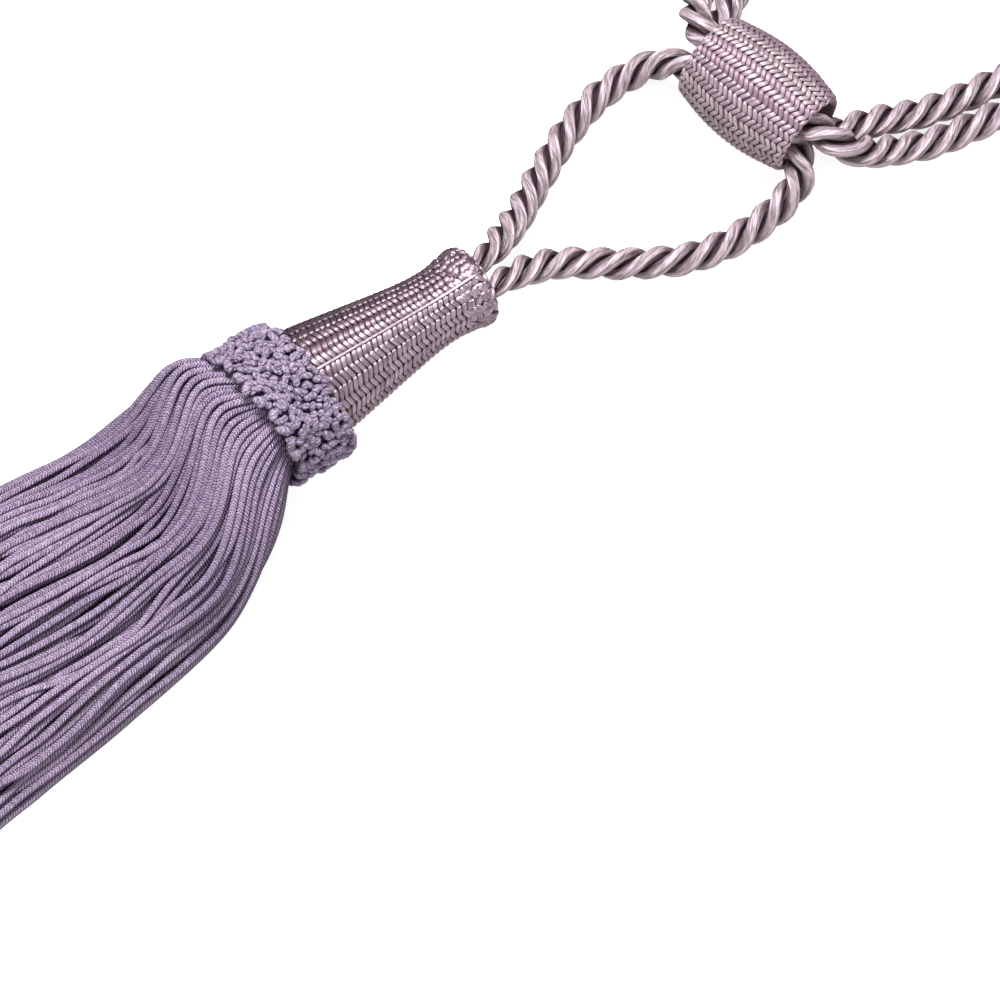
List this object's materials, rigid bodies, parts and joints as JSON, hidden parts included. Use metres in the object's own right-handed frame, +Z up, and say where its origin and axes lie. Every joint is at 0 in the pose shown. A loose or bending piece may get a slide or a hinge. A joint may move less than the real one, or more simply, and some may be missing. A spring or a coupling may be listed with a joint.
{
  "type": "curtain tieback tassel",
  "caption": "Curtain tieback: a braided tassel head with a knotted ruff and a cord-strand skirt, on a twisted satin rope that a braided barrel gathers into embrace loops.",
  "frame": {"origin": "middle of the flat spot under the ruff, on the surface that the tieback lies on", "axes": "+Z up from that surface; +X along the tassel from its skirt towards its head and on along the rope"},
  "size_m": [0.5227, 0.1313, 0.0399],
  "materials": {
    "fringe_lilac": "matt-sheen chainette strands",
    "ruff_lilac": "matt looped knots",
    "braid_satin": "satin herringbone braid",
    "rope_satin": "satin-wrapped twisted rope"
  },
  "bodies": {
    "root": {"skirt": "fringe_lilac", "ruff": "ruff_lilac", "head": "braid_satin", "barrel": "braid_satin", "rope": "rope_satin"}
  },
  "joints": []
}
